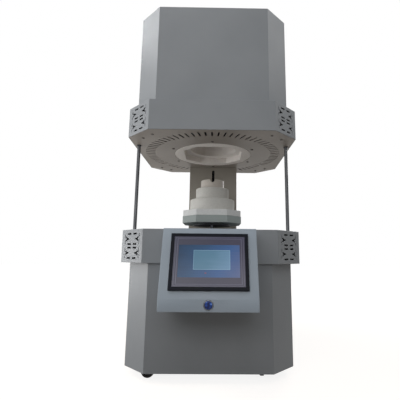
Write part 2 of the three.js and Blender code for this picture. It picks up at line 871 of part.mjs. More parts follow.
// Heating element: two thick cold ends joined by a thin hot U, in the YZ plane
function heatingElement() {
  const elementBottom = mouthThickness + elementLift;
  const straight = chamberTop - elementBottom;
  const corner = elementLegHalf - elementBend;
  const path = new THREE.CurvePath();
  const at = (y, z) => new THREE.Vector3(0, y, z);
  const low = elementBottom + elementBend;
  path.add(new THREE.LineCurve3(at(-elementLegHalf, chamberTop + overrun), at(-elementLegHalf, low)));
  path.add(new THREE.QuadraticBezierCurve3(
    at(-elementLegHalf, low), at(-elementLegHalf, elementBottom), at(-corner, elementBottom),
  ));
  path.add(new THREE.LineCurve3(at(-corner, elementBottom), at(corner, elementBottom)));
  path.add(new THREE.QuadraticBezierCurve3(
    at(corner, elementBottom), at(elementLegHalf, elementBottom), at(elementLegHalf, low),
  ));
  path.add(new THREE.LineCurve3(at(elementLegHalf, low), at(elementLegHalf, chamberTop + overrun)));
  const steps = Math.round(straight / elementBend) * 2;
  const section = shapeOf(circle(hotRadius, screwSides));
  const hot = new THREE.ExtrudeGeometry(section, { steps, extrudePath: path, bevelEnabled: false });
  const ends = [-1, 1].map((side) => {
    const y = side * elementLegHalf;
    return rod(coldRadius, roofThickness + elementTail, chamberTop, smallSides, 0, y);
  });
  return join(hot, ...ends);
}

function terminalRing() {
  const holes = legPlaces().map(([x, y]) => circle(coldRadius + gap, smallSides, x, y));
  const inner = elementCircle - terminalWidth / 2;
  const outer = elementCircle + terminalWidth / 2;
  return slab(circle(outer, roundSides), terminalHeight, 0, [circle(inner, roundSides), ...holes]);
}

function thermocouple() {
  const bottom = chamberTop - sheathDip;
  const top = roofTop + gap;
  return turned([
    [0, bottom], [sheathRadius, bottom], [sheathRadius, top], [sheathHeadRadius, top],
    [sheathHeadRadius, top + sheathHeadHeight], [0, top + sheathHeadHeight],
  ], smallSides);
}

// Cooling fan: a square frame with a spider that carries the hub
function fanFrame() {
  const ring = slab(rectangle(fanWidth, fanWidth), fanDepth, 0, [circle(fanBore, roundSides)]);
  const across = 2 * fanBore + gap;
  const spider = [0, 1].map((turn) => (
    block(across, fanStrut, fanStrutThickness).rotateZ((turn * Math.PI) / 2 + Math.PI / 4)
  ));
  return join(ring, ...spider, rod(fanHub, fanStrutThickness, 0, smallSides));
}

function fanRotor() {
  const height = fanDepth - fanStrutThickness - plate;
  const hub = rod(fanHub, height, 0, smallSides);
  const length = fanBore - fanTipGap - fanHub + plate;
  const blades = [];
  for (let i = 0; i < fanBlades; i += 1) {
    const blade = new THREE.BoxGeometry(length, fanBladeChord, fanBladeThickness);
    blade.rotateX(fanBladePitchShare * Math.PI);
    blade.translate(fanHub - plate + length / 2, 0, height / 2);
    blades.push(blade.rotateZ((2 * Math.PI * i) / fanBlades));
  }
  return join(hub, ...blades);
}

// Casters: one frame under the floor carries the four swivel races
function casterFrame() {
  const places = casterPlaces().map(({ at }) => at);
  const [spanX, spanY] = casterPlaces()[0].at.map((value) => -2 * value);
  const outer = rectangle(spanX + casterPlateWidth, spanY + casterPlateWidth);
  const inner = rectangle(spanX - casterPlateWidth, spanY - casterPlateWidth);
  const frame = slab(outer, casterPlateThickness, -casterPlateThickness, [inner]);
  const low = -casterPlateThickness - raceHeight;
  const races = places.map(([x, y]) => rod(raceRadius, raceHeight + gap, low, smallSides, x, y));
  const holeHeight = 2 * overrun - low;
  const holes = places.map(([x, y]) => (
    rod(kingpinRadius + gap, holeHeight, low - overrun, smallSides, x, y)
  ));
  return cut(join(frame, ...races), ...holes);
}

function casterPlaces() {
  const x = bodyPlan.halfX - casterSideInset;
  const y = bodyPlan.halfY - casterFrontInset;
  return [
    { name: 'front_left', at: [-x, -y], turn: Math.PI },
    { name: 'front_right', at: [x, -y], turn: Math.PI / 2 },
    { name: 'rear_left', at: [-x, y], turn: (2 * Math.PI) / 3 },
    { name: 'rear_right', at: [x, y], turn: Math.PI / 4 },
  ];
}

// Fork: the swivel axis is Z at its own origin, the ground is at z = 0 and the wheel trails on +X
function casterFork() {
  const top = casterHeight - casterPlateThickness - raceHeight - gap;
  const legY = wheelWidth / 2 + forkLegClearance;
  const root = top - crownThickness;
  const eye = (turn) => [
    casterTrail + forkEyeRadius * Math.cos(turn), wheelRadius + forkEyeRadius * Math.sin(turn),
  ];
  const leg = [
    [-forkRootHalf, top], [-forkRootHalf, root], eye(Math.PI), eye(-Math.PI * 3 / 4), eye(-Math.PI / 2),
    eye(-Math.PI / 4), eye(0), [casterTrail - wheelWidth / 2, root], [forkRootHalf, top],
  ];
  const legs = [legY, -legY - forkLegThickness].map((y) => (
    slab(leg, forkLegThickness, 0).rotateX(Math.PI / 2).translate(0, y + forkLegThickness, 0)
  ));
  const axleLength = 2 * (legY + forkLegThickness);
  const axle = rod(axleRadius, axleLength, -axleLength / 2, smallSides).rotateX(Math.PI / 2);
  axle.translate(casterTrail, 0, wheelRadius);
  const crown = rod(crownRadius, crownThickness, root, smallSides);
  const kingpin = rod(kingpinRadius, kingpinLength + crownThickness, root, smallSides);
  return join(...legs, axle, crown, kingpin);
}

function casterWheel() {
  const half = wheelWidth / 2;
  const bore = axleRadius + gap;
  const shoulder = wheelRadius - wheelCrown;
  return turned([
    [bore, -half], [shoulder, -half], [wheelRadius, -half + wheelCrown], [wheelRadius, half - wheelCrown],
    [shoulder, half], [bore, half], [bore, -half],
  ]).rotateX(Math.PI / 2);
}

// Base
const base = group(furnace, 0, 0, skirtHeight);
add(base, 'cabinet_shell', cabinetShell(), greyPaint);
add(base, 'base_floor', slab(octagon(inset(bodyPlan, wall + gap)), plate, floorRise), darkSteel);
const serviceZ = serviceRise + serviceHeight / 2;
const rearPanel = add(base, 'rear_panel', servicePanel(), greyPaint, 0, bodyPlan.halfY, serviceZ);
rearPanel.rotation.set(Math.PI / 2, Math.PI, 0);
const gland = add(base, 'cable_gland', cableGland(), blackPlastic, glandX, 0, serviceZ + glandY);
gland.position.y = bodyPlan.halfY + wall + gap;
gland.rotation.x = -Math.PI / 2;
const floorTop = floorRise + plate;
add(base, 'transformer_core', transformerCore(), darkSteel, transformerX, transformerY, floorTop);
add(base, 'transformer_coil', transformerCoil(), copper, transformerX, transformerY, floorTop);
add(base, 'power_controller', powerController(), aluminium, controllerX, transformerY, floorTop);
add(base, 'base_collar', collar(0, collarHeight - plate - wall), greyPaint, 0, 0, cabinetHeight);
add(base, 'base_deck', baseDeck(), greyPaint, 0, 0, cabinetHeight + collarHeight - plate);

// Control box and what it carries
add(furnace, 'control_box', controlBox(), panelPaint);
const panel = group(furnace);
panel.applyMatrix4(panelMatrix());
add(panel, 'hmi_bezel', touchBezel(), blackPlastic);
const screenZ = gap + bezelThickness - bezelPocket + gap;
add(panel, 'hmi_screen', touchScreen(), screenGlass, 0, 0, screenZ);
const button = group(furnace, 0, boxFaceY - gap, buttonZ);
button.rotation.x = Math.PI / 2;
add(button, 'button_body', buttonBody(), chrome);
const capTop = buttonRingThickness + buttonProud;
add(button, 'button_cap', rod(buttonCap, buttonCapLength), blueLens, 0, 0, capTop - buttonCapLength);

// Pillars
for (const [name, side] of [['left', -1], ['right', 1]]) {
  add(furnace, `pillar_${name}`, pillar(), brushedSteel, side * pillarX, pillarY, deckZ - pillarTail);
}

// Column and lift
const column = group(furnace, 0, 0, deckZ);
add(column, 'column_cover', columnCover(), greyPaint);
const spineMiddle = spineY + spineThickness / 2;
const spineDrop = lowerBlockDrop + motorHeight;
const spine = block(2 * spineHalf, spineThickness, openingHeight + spineDrop, 0, spineMiddle, -spineDrop);
add(column, 'column_spine', spine, darkSteel);
const lowerZ = -lowerBlockDrop;
const upperZ = openingHeight - upperBlockClearance - upperBlockHeight;
add(column, 'lower_block', liftBlock(lowerBlockHeight), aluminium, 0, 0, lowerZ);
add(column, 'upper_block', liftBlock(upperBlockHeight), aluminium, 0, 0, upperZ);
const shaftLength = upperZ + upperBlockHeight - lowerZ - 2 * gap;
const guide = rod(guideRadius, shaftLength, 0, smallSides);
add(column, 'guide_rod_left', guide, chrome, -guideX, liftY, lowerZ + gap);
add(column, 'guide_rod_right', guide, chrome, guideX, liftY, lowerZ + gap);
add(column, 'lift_motor', liftMotor(), darkSteel, 0, liftY, lowerZ - motorHeight);
add(column, 'lead_screw', rod(screwRadius, shaftLength, 0, smallSides), brushedSteel, 0, liftY, lowerZ + gap);

// Carriage, arm and hearth, at the loading place
const lift = group(column);
add(lift, 'carriage', carriage(), aluminium, 0, liftY, -carriageDrop);
add(lift, 'lift_nut', liftNut(), bronze, 0, liftY, -carriageDrop - gap);
add(lift, 'lift_arm', liftArm(), darkSteel);
const hearth = group(lift, 0, 0, hearthRise);
add(hearth, 'hearth_tray', hearthTray(), trayPaint);
add(hearth, 'hearth_board', hearthBoard(), denseFibre);
const plugLowerZ = trayHeight + boardThickness + 2 * gap;
const plugUpperZ = plugLowerZ + plugLowerHeight + gap;
const crucibleZ = plugUpperZ + plugUpperHeight + gap;
add(hearth, 'plug_lower', rod(plugLowerRadius, plugLowerHeight), fibre, 0, 0, plugLowerZ);
add(hearth, 'plug_upper', rod(plugLowerRadius - plugStep, plugUpperHeight), fibre, 0, 0, plugUpperZ);
add(hearth, 'crucible', crucible(), ceramic, 0, 0, crucibleZ);

// Head
const head = group(furnace, 0, 0, headZ);
add(head, 'head_floor', headFloor(), underPaint);
add(head, 'head_collar', collar(collarHeight - wall, wall), greyPaint);
add(head, 'head_shell', headShell(), greyPaint, 0, 0, collarHeight);
add(head, 'head_top', headTop(), greyPaint, 0, 0, collarHeight + headHeight - wall);
add(head, 'mouth_ring', mouthRing(), fibre);
add(head, 'chamber_case', chamberCase(), brushedSteel, 0, 0, wall);
const midRadius = boreRadius + chamberWallThickness;
add(head, 'chamber_wall', chamberTube(boreRadius, midRadius), fibre);
add(head, 'outer_insulation', chamberTube(midRadius + gap, insulationRadius), denseFibre);
add(head, 'chamber_roof', chamberRoof(), fibre);
elementPlaces().forEach((angle, index) => {
  const place = group(head);
  place.rotation.z = angle;
  add(place, `heating_element_${index + 1}`, heatingElement(), silicide, elementCircle);
});
add(head, 'terminal_ring', terminalRing(), ceramic, 0, 0, roofTop + gap);
add(head, 'thermocouple', thermocouple(), ceramic);
const fanZ = collarHeight + headHeight - wall - fanDepth;
add(head, 'fan_frame', fanFrame(), blackPlastic, 0, 0, fanZ);
add(head, 'fan_rotor', fanRotor(), blackPlastic, 0, 0, fanZ + fanStrutThickness + gap);

// Casters
add(furnace, 'caster_frame', casterFrame(), darkSteel, 0, 0, casterHeight);
for (const { name, at: [x, y], turn } of casterPlaces()) {
  const caster = group(furnace, x, y);
  caster.rotation.z = turn;
  add(caster, `caster_fork_${name}`, casterFork(), darkSteel);
  add(caster, `caster_wheel_${name}`, casterWheel(), blackRubber, casterTrail, 0, wheelRadius);
}

// The outline's centre goes over the origin
const outline = new THREE.Box3().setFromObject(furnace);
furnace.position.y = -(outline.min.y + outline.max.y) / 2;

export default furnace;
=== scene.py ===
# %% [markdown]
# # A bottom-loading sintering furnace for a dental lab
#
# The furnace is a stack of bent steel boxes: a cabinet, a collar with pierced corners, an open
# loading gap with two pillars and a lift column, a second collar and the heated head. The packed
# model gives every solid in metres. This script dresses those solids: finer meshes where a rounded
# edge or a round wall shows, small parts that only the eye needs, and a finish for every piece.

# %% Load the frame
import bpy
import bmesh
import json
import math
from mathutils import Matrix, Vector


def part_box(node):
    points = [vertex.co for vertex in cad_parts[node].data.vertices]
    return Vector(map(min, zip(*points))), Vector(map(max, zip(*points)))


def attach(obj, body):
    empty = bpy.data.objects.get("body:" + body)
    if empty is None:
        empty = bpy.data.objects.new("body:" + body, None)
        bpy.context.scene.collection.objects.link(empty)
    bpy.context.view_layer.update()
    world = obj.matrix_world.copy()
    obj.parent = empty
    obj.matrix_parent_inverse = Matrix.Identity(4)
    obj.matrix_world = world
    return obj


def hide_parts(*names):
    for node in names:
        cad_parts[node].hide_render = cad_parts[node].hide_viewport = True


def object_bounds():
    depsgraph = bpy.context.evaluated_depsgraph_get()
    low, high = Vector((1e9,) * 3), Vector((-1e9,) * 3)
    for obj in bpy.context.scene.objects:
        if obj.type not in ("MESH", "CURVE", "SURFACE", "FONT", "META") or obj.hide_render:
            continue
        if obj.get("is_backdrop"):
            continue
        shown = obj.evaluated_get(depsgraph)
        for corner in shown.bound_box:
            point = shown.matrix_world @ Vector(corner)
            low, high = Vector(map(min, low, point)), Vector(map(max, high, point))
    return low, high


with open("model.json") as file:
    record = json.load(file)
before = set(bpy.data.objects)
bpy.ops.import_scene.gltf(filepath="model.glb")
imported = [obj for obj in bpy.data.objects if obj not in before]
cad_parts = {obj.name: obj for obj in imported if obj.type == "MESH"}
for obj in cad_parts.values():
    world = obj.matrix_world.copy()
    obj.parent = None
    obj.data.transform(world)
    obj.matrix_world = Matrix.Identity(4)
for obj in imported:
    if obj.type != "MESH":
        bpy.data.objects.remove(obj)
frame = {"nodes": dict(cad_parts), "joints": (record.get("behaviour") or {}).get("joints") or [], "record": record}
cad_bounds = [list(corner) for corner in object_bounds()]
middle_y = sum(corner[1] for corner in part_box("head_top")) / 2
print("nodes", len(frame["nodes"]), "machine axis at y", round(middle_y, 5))

# %% [markdown]
# ## Camera
#
# The photograph was taken from about waist height, a little right of the middle and tipped up, with
# a short lens from one metre away. A pinhole camera fitted to sixty corners of the object gives the
# numbers below. The picture was cropped off its lens centre, so the camera also gets a small shift.

# %% Camera
picture = 400
focal_pixels = 330.6
lens_centre = (220.7, 195.1)
camera_place = Vector((0.01803, middle_y - 1.2837, 0.3656))
yaw, pitch, roll = 0.01148, 0.1734, 0.009177

level_reach = math.cos(pitch)
forward = Vector((math.sin(yaw) * level_reach, math.cos(yaw) * level_reach, math.sin(pitch)))
level_right = Vector((math.cos(yaw), -math.sin(yaw), 0))
level_up = level_right.cross(forward)
right = level_right * math.cos(roll) + level_up * math.sin(roll)
up = level_up * math.cos(roll) - level_right * math.sin(roll)

lens = bpy.data.cameras.new("view")
lens.sensor_width = 36
lens.lens = focal_pixels * lens.sensor_width / picture
lens.shift_x = (picture / 2 - lens_centre[0]) / picture
lens.shift_y = (lens_centre[1] - picture / 2) / picture
camera = bpy.data.objects.new("view", lens)
turned = Matrix((right, up, -forward)).transposed().to_4x4()
camera.matrix_world = Matrix.Translation(camera_place) @ turned
bpy.context.collection.objects.link(camera)
bpy.context.scene.camera = camera
bpy.context.scene.view_settings.view_transform = "Standard"
print("lens", round(lens.lens, 2), "mm, shift", round(lens.shift_x, 4), round(lens.shift_y, 4))

# %% [markdown]
# ## Colour and nodes
#
# Paint colours are picked as sRGB hex values, the way a paint chart or a picture editor gives them.
# Cycles counts light in linear values, so one function converts them. A second one adds a shader
# node with its settings and links, so each material below reads as a short list of steps. Most
# finishes need noise of a real size, so a third one builds that pattern from three nodes.

# %% Colour and node helpers
def linear(hex_colour):
    channels = [int(hex_colour[i:i + 2], 16) / 255 for i in (1, 3, 5)]
    return [c / 12.92 if c <= 0.04045 else ((c + 0.055) / 1.055) ** 2.4 for c in channels] + [1]


def add(tree, kind, sockets=None, stops=(), **settings):
    """Adds one node. A socket's value is a number, a colour or the output that feeds it."""
    node = tree.nodes.new("ShaderNode" + kind)
    for name, value in settings.items():
        setattr(node, name, value)
    for i, (spot, hex_colour) in enumerate(stops):
        elements = node.color_ramp.elements
        element = elements[i] if i < len(elements) else elements.new(spot)
        element.position, element.color = spot, linear(hex_colour)
    for name, value in (sockets or {}).items():
        if isinstance(value, bpy.types.NodeSocket):
            tree.links.new(value, node.inputs[name])
        else:
            node.inputs[name].default_value = value
    return node


def blank(name):
    material = bpy.data.materials.new(name)
    material.use_nodes = True
    material.node_tree.nodes.clear()
    return material, material.node_tree


def grain(tree, size, stretch=(1, 1, 1), detail=2.0, rough=0.5):
    """Noise whose blobs are size metres across, stretched along an axis by a smaller factor."""
    spot = add(tree, "TexCoord").outputs["Object"]
    spot = add(tree, "Mapping", {"Vector": spot, "Scale": stretch}).outputs["Vector"]
    sockets = {"Vector": spot, "Scale": 0.5 / size, "Detail": detail, "Roughness": rough}
    return add(tree, "TexNoise", sockets).outputs["Fac"]


print("white is", linear("#ffffff"), "and mid grey", round(linear("#808080")[0], 3))

# %% [markdown]
# ## Powder coat
#
# The housings are mild steel sheet, bent and then powder coated. The powder melts into a skin about
# 0.08 mm thick with the soft ripple called orange peel, some 2 mm from crest to crest, under a
# satin gloss. Hands and dust leave broad patches that are a little duller. The ripple is real
# relief, so it goes to the bump; the patches only move the colour by a few units and the roughness
# by a tenth.

# %% Powder-coated steel
def powder_coat(name, light, dark, gloss):
    material, tree = blank(name)
    patches = grain(tree, 0.09, detail=4)
    peel = grain(tree, 0.0022, detail=1)
    rough = {"Value": patches, "To Min": gloss + 0.06, "To Max": gloss - 0.06}
    colour = add(tree, "ValToRGB", {"Fac": patches}, [(0.3, dark), (0.7, light)]).outputs["Color"]
    sockets = {
        "Base Color": colour,
        "Roughness": add(tree, "MapRange", rough).outputs["Result"],
        "Normal": add(tree, "Bump", {"Height": peel, "Distance": 0.00012}).outputs["Normal"],
        "Specular IOR Level": 0.35,
    }
    shader = add(tree, "BsdfPrincipled", sockets).outputs["BSDF"]
    add(tree, "OutputMaterial", {"Surface": shader})
    return material


grey_coat = powder_coat("powder_coat_grey", "#82868a", "#7c8084", 0.45)
panel_coat = powder_coat("powder_coat_blue_grey", "#97a2ad", "#8f9aa5", 0.42)
tray_coat = powder_coat("powder_coat_tray_grey", "#939c9a", "#89918f", 0.5)
# The column's coat is lighter and warmer than the grey: painted bounce light from the fibre in front of the shaded
# column.
column_coat = powder_coat("powder_coat_painted_fibre_bounce", "#959087", "#8d887f", 0.5)
graphite_coat = powder_coat("powder_coat_graphite_painted_shade", "#484b4e", "#424548", 0.45)
# The head floor's coat is warmer and lighter than the grey: painted warm bounce light from the floor below it.
floor_coat = powder_coat("powder_coat_painted_warm_bounce", "#99928b", "#908a83", 0.5)
print("coats", grey_coat.name, panel_coat.name, tray_coat.name, column_coat.name, floor_coat.name)

# %% [markdown]
# ## Metals
#
# The pillars are ground steel, coloured darker than bare steel as painted shade for the dark room they
# would reflect: fine scratches run along them, too fine to see alone, so they are drawn 1 mm apart and
# barely move the surface. Zinc plate is a dull crystalline skin, clear or black. Chrome, bright on the
# guide rods and darkened on the button's ring as a painted dark reflection, keeps almost no texture,
# only faint wipe marks. The lift nut is turned bronze, the castings are blasted aluminium and the coil
# is enamelled wire. Metals keep the default IOR, because their colour already holds their reflectance.

# %% Metals
def metal(name, light, dark, roughness, size, stretch=(1, 1, 1), depth=0.00003):
    material, tree = blank(name)
    marks = grain(tree, size, stretch, detail=3, rough=0.6)
    rough = {"Value": marks, "To Min": roughness + 0.08, "To Max": roughness - 0.08}
    colour = add(tree, "ValToRGB", {"Fac": marks}, [(0.35, dark), (0.65, light)]).outputs["Color"]
    sockets = {
        "Base Color": colour,
        "Metallic": 1.0,
        "Roughness": add(tree, "MapRange", rough).outputs["Result"],
        "Normal": add(tree, "Bump", {"Height": marks, "Distance": depth}).outputs["Normal"],
    }
    shader = add(tree, "BsdfPrincipled", sockets).outputs["BSDF"]
    add(tree, "OutputMaterial", {"Surface": shader})
    return material


ground_steel = metal("ground_steel", "#7b7e80", "#626568", 0.34, 0.001, (1, 1, 0.04))
# The pillar steel is coloured dark as painted shade, in place of the dark room that bare ground bars would
# reflect.
pillar_steel = metal("ground_steel_painted_shade", "#4e4f51", "#3b3c3e", 0.36, 0.001, (1, 1, 0.04))
zinc_plate = metal("zinc_plated_steel", "#8f9496", "#70757a", 0.42, 0.006)
dark_zinc = metal("black_zinc_steel", "#3c3e41", "#2c2e31", 0.45, 0.005)
bright_chrome = metal("bright_chrome", "#b9bcc0", "#aaadb2", 0.14, 0.012, depth=0.00001)
# The button ring's chrome is darkened as a painted dark reflection, in place of the dark surroundings it would
# mirror.
chrome_painted_dark_reflection = metal("chrome_painted_dark_reflection", "#6d7075", "#595c61", 0.16, 0.012, depth=0.00001)
cast_aluminium = metal("blasted_aluminium", "#c3c6c9", "#aeb1b5", 0.48, 0.0012)
turned_bronze = metal("turned_bronze", "#b9935a", "#9c7a46", 0.38, 0.001, (1, 1, 0.05))
enamelled_copper = metal(
    "enamelled_copper_wire", "#a5602f", "#7c4320", 0.4, 0.0016, (0.05, 0.05, 1),
)
print("metals", ground_steel.name, zinc_plate.name, bright_chrome.name)

# %% [markdown]
# ## Ceramic fibre, fired alumina and heater rod
#
# The hearth plug and the furnace mouth are vacuum-formed ceramic fibre: a chalky white felt, stiff
# as balsa, with clumps some 3 mm across and short fibres on its surface. Heat gives it a faint
# cream tint. Fired alumina is denser and smoother, with a faint eggshell sheen. The heater
# rods are molybdenum disilicide with a thin glaze of silica.

# %% Fibre, alumina and heater rod
def fibre(name, light, shade, clump):
    material, tree = blank(name)
    clumps = grain(tree, clump, detail=5, rough=0.65)
    fuzz = grain(tree, clump / 3, (1, 1, 0.35), detail=3, rough=0.7)
    height = add(tree, "Math", {0: clumps, 1: fuzz}, operation="ADD").outputs["Value"]
    colour = add(tree, "ValToRGB", {"Fac": clumps}, [(0.3, shade), (0.62, light)]).outputs["Color"]
    sockets = {
        "Base Color": colour,
        "Roughness": 0.95,
        "Specular IOR Level": 0.2,
        "Normal": add(tree, "Bump", {"Height": height, "Distance": 0.0003}).outputs["Normal"],
    }
    shader = add(tree, "BsdfPrincipled", sockets).outputs["BSDF"]
    add(tree, "OutputMaterial", {"Surface": shader})
    return material


formed_fibre = fibre("vacuum_formed_fibre", "#d2d1cc", "#c9c8c3", 0.003)
fibre_board = fibre("ceramic_fibre_board", "#dcdddc", "#d3d4d3", 0.004)
mouth_fibre = fibre("mouth_ring_fibre", "#f6f2ee", "#eeeae6", 0.003)


def fired(name, light, dark, gloss, size):
    material, tree = blank(name)
    specks = grain(tree, size, detail=3, rough=0.6)
    rough = {"Value": specks, "To Min": gloss + 0.08, "To Max": gloss - 0.05}
    colour = add(tree, "ValToRGB", {"Fac": specks}, [(0.35, dark), (0.6, light)]).outputs["Color"]
    sockets = {
        "Base Color": colour,
        "Roughness": add(tree, "MapRange", rough).outputs["Result"],
        "Normal": add(tree, "Bump", {"Height": specks, "Distance": 0.00005}).outputs["Normal"],
        "IOR": 1.7,
    }
    shader = add(tree, "BsdfPrincipled", sockets).outputs["BSDF"]
    add(tree, "OutputMaterial", {"Surface": shader})
    return material


alumina = fired("fired_alumina", "#b7b0a7", "#aca59c", 0.5, 0.0015)
heater_rod = fired("glazed_disilicide", "#47444a", "#39373c", 0.35, 0.002)
print("ceramics", formed_fibre.name, fibre_board.name, alumina.name, heater_rod.name)

# %% [markdown]
# ## Plastics and rubber
#
# The touch panel's frame is moulded ABS with a spark-eroded grain about 0.4 mm across, drawn twice
# as coarse so that it shows. The casters' treads are grey-black rubber, duller and softer, with
# scuffs and dust. The push button's lens is clear blue acrylic with ribs behind it.

# %% Plastics and rubber
def moulded(name, light, dark, gloss, size, depth, shine=0.3):
    material, tree = blank(name)
    spark = grain(tree, size, detail=2)
    scuffs = grain(tree, size * 14, detail=4, rough=0.6)
    rough = {"Value": scuffs, "To Min": gloss - 0.06, "To Max": gloss + 0.08}
    colour = add(tree, "ValToRGB", {"Fac": scuffs}, [(0.35, dark), (0.7, light)]).outputs["Color"]
    sockets = {
        "Base Color": colour,
        "Roughness": add(tree, "MapRange", rough).outputs["Result"],
        "Normal": add(tree, "Bump", {"Height": spark, "Distance": depth}).outputs["Normal"],
        "Specular IOR Level": shine,
    }
    shader = add(tree, "BsdfPrincipled", sockets).outputs["BSDF"]
    add(tree, "OutputMaterial", {"Surface": shader})
    return material


black_abs = moulded("black_abs", "#0a0e1a", "#070a12", 0.36, 0.0008, 0.00004, 0.08)
nylon = moulded("black_nylon", "#242527", "#191a1b", 0.5, 0.001, 0.00004)
tread_rubber = moulded("moulded_rubber", "#2c2b29", "#1d1c1b", 0.75, 0.0015, 0.0001)


def lens_acrylic():
    material, tree = blank("blue_acrylic")
    spot = add(tree, "TexCoord").outputs["Object"]
    # The ribs make real bumps, and their pale cell middles are painted sparkle. The lens's faint blue glow is
    # painted light: the button is no lamp.
    ribs_and_painted_sparkle = add(tree, "TexVoronoi", {"Vector": spot, "Scale": 130.0}).outputs["Distance"]
    tones = [(0.05, "#9cc0f0"), (0.24, "#2850a0"), (0.7, "#0a1848")]
    colour = add(tree, "ValToRGB", {"Fac": ribs_and_painted_sparkle}, tones).outputs["Color"]
    sockets = {
        "Base Color": colour,
        "Roughness": 0.12,
        "Specular IOR Level": 0.2,
        "Emission Color": colour,
        "Emission Strength": 0.3,
        "Normal": add(tree, "Bump", {"Height": ribs_and_painted_sparkle, "Distance": 0.0003}).outputs["Normal"],
    }
    shader = add(tree, "BsdfPrincipled", sockets).outputs["BSDF"]
    add(tree, "OutputMaterial", {"Surface": shader})
    return material


blue_acrylic = lens_acrylic()
print("plastics", black_abs.name, nylon.name, tread_rubber.name, blue_acrylic.name)

# %% [markdown]
# ## The lit display
#
# Behind a hard clear film, the display has a dead border with two printed lines, a dark blue page
# and a paler window in its middle. The backlight is weak at the upper left and the room shines in
# the film at the right, so the page fades from deep blue to lilac: that is a smooth change over
# 150 mm, and it is made with a gradient in the panel's own plane, not with more faces. The pixel
# rows, 0.2 mm apart, are drawn 2 mm apart so that they show.

# %% Display layers
slope_run, slope_rise = 0.056, 0.178
sweep_x, sweep_y = 0.085, 0.045
panel_tilt = math.atan2(slope_run, slope_rise)
screen_corners = [Vector(corner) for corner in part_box("hmi_screen")]
screen_middle = (screen_corners[0] + screen_corners[1]) / 2


def across_panel(tree):
    """A value of 0 at the panel's upper left that grows to 1 at its lower right, mostly across."""
    spot = add(tree, "TexCoord").outputs["Object"]
    flat = add(tree, "Mapping", {
        "Vector": spot,
        "Location": screen_middle,
        "Rotation": (math.pi / 2 - panel_tilt, 0, 0),
    }, vector_type="TEXTURE").outputs["Vector"]
    parts = add(tree, "SeparateXYZ", {"Vector": flat}).outputs
    right_way = {"Value": parts["X"], "From Min": -sweep_x, "From Max": sweep_x}
    right_way = add(tree, "MapRange", right_way).outputs["Result"]
    down_way = {"Value": parts["Y"], "From Min": sweep_y, "From Max": -sweep_y}
    down_way = add(tree, "MapRange", down_way).outputs["Result"]
    one = add(tree, "Math", {0: right_way, 1: 0.8}, operation="MULTIPLY").outputs["Value"]
    both = {0: down_way, 1: 0.2, 2: one}
    return add(tree, "Math", both, operation="MULTIPLY_ADD").outputs["Value"]


def backlit(name, tones, glow=0.5):
    material, tree = blank(name)
    uneven = grain(tree, 0.02, detail=1)
    rows = grain(tree, 0.002, (0.03, 1, 1), detail=1)
    level = add(tree, "Math", {0: uneven, 1: rows}, operation="ADD").outputs["Value"]
    level = {"Value": level, "From Max": 2.0, "To Min": -0.16, "To Max": 0.16}
    level = add(tree, "MapRange", level).outputs["Result"]
    total = {0: across_panel(tree), 1: level}
    total = add(tree, "Math", total, operation="ADD").outputs["Value"]
    colour = add(tree, "ValToRGB", {"Fac": total}, tones).outputs["Color"]
    sockets = {
        "Base Color": colour,
        "Roughness": 0.2,
        "Specular IOR Level": 0.3,
        "Emission Color": colour,
        "Emission Strength": glow,
    }
    shader = add(tree, "BsdfPrincipled", sockets).outputs["BSDF"]
    add(tree, "OutputMaterial", {"Surface": shader})
    return material


film_border = backlit(
    "display_dead_border", [(0.0, "#40404f"), (0.5, "#383749"), (1.0, "#3c3a4c")], glow=0.2,
)
border_line = backlit("display_border_line", [(0.0, "#5d5d70"), (1.0, "#56556a")], glow=0.2)
page_blue = backlit(
    "display_page_blue", [(0.0, "#162c44"), (0.35, "#1c3d5f"), (0.7, "#2b4b78"), (0.95, "#475378")],
)
window_blue = backlit("display_window", [(0.0, "#3e6075"), (0.5, "#466a80"), (0.85, "#5c7c98")])
window_edge = backlit("display_window_edge", [(0.0, "#547a92"), (1.0, "#7595ac")])
mark_red = backlit("display_red_mark", [(0.0, "#563a55"), (1.0, "#5a3c55")])
print("display layers", film_border.name, page_blue.name, window_blue.name)

# %% [markdown]
# ## Dressing the CAD solids
#
# No edge of a real piece is a knife edge. The CAD solid has the right flats, so its mesh is copied
# and every corner sharper than 30 degrees is bevelled. Faces that meet at less than that are round
# walls and are shaded smooth. The shading of a bend leaks into the flat beside it, so a Weighted
# Normal modifier lets the large faces decide, which keeps them flat to the eye. Each copy stands in
# for its solid.

# %% Piece helpers
bodies = frame["record"]["behaviour"]["bodies"]
body_of_node = {node: body for body, nodes in bodies.items() for node in nodes}
corner_angle = math.radians(30)
one_plane = math.radians(1)


def keep(name, mesh, material, body, smooth=corner_angle):
    """A mesh becomes a piece of the object: it gets its finish, its shading and its body."""
    for polygon in mesh.polygons:
        polygon.use_smooth = True
    mesh.set_sharp_from_angle(angle=smooth)
    if not mesh.materials:
        mesh.materials.append(material)
    piece = bpy.data.objects.new(name, mesh)
    bpy.context.collection.objects.link(piece)
    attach(piece, body)
    return piece


def to_mesh(work, name):
    mesh = bpy.data.meshes.new(name)
    bmesh.ops.recalc_face_normals(work, faces=work.faces)
    work.to_mesh(mesh)
    work.free()
    return mesh


def refine(node, material, bend, steps, smooth=corner_angle):
    """A finer copy of a CAD solid, with its sharp corners rounded, that stands in for it."""
    work = bmesh.new()
    work.from_mesh(frame["nodes"][node].data)
    bmesh.ops.remove_doubles(work, verts=work.verts, dist=1e-5)
    walls = [edge for edge in work.edges if edge.is_manifold]
    sharp = [edge for edge in walls if edge.calc_face_angle(0) > corner_angle]
    bmesh.ops.bevel(
        work, geom=sharp, offset=bend, segments=steps,
        profile=0.5, affect="EDGES", clamp_overlap=True,
    )
    piece = keep(node + "_skin", to_mesh(work, node), material, body_of_node[node], smooth)
    even = piece.modifiers.new("flat faces shade flat", "WEIGHTED_NORMAL")
    even.keep_sharp = True
    even.weight = 100
    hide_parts(node)


